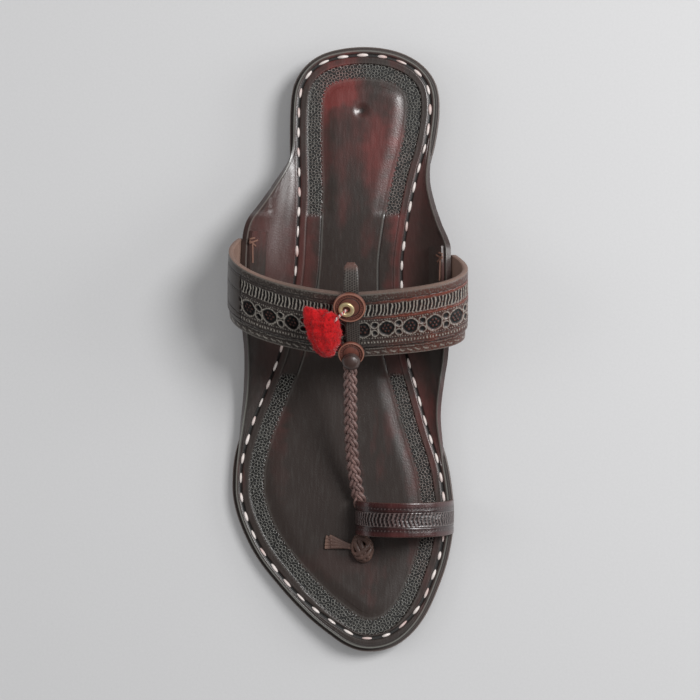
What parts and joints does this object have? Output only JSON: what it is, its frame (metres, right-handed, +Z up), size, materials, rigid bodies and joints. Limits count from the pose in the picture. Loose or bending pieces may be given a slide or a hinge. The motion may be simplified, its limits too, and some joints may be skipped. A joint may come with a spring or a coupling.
{
  "type": "kolhapuri sandal",
  "caption": "Open leather sandal for the right foot with a tooled instep band, plaited centre strap, toe loop, raised side ears, stacked heel and red pompom",
  "frame": {"origin": "on the floor, below the middle of the sandal's box", "axes": "+X to the medial side, +Y from toe to heel, +Z up; the toe points to -Y"},
  "size_m": [0.1087, 0.275, 0.0661],
  "materials": {
    "sole_leather": "dark brown, edge burnished",
    "lift_leather": "stacked, edge burnished",
    "insole_leather": "dark brown with maroon patches, oiled",
    "band_leather": "tooled, dark brown with red-brown edges",
    "patch_leather": "rough brown",
    "disc_leather": "red-brown, tooled",
    "brass": "worn",
    "red_wool": "fuzzy wool"
  },
  "bodies": {
    "root": {"outsole": "sole_leather", "heel_lift_upper": "lift_leather", "heel_lift_middle": "lift_leather", "heel_top_piece": "lift_leather", "insole": "insole_leather", "upper": "band_leather", "ear_patch_lateral": "patch_leather", "ear_patch_medial": "patch_leather", "centre_strip": "patch_leather", "rosette": "disc_leather", "lower_rosette": "disc_leather", "plait_cap": "band_leather", "eyelet": "brass", "pompom": "red_wool", "toe_knot": "patch_leather"}
  },
  "joints": []
}
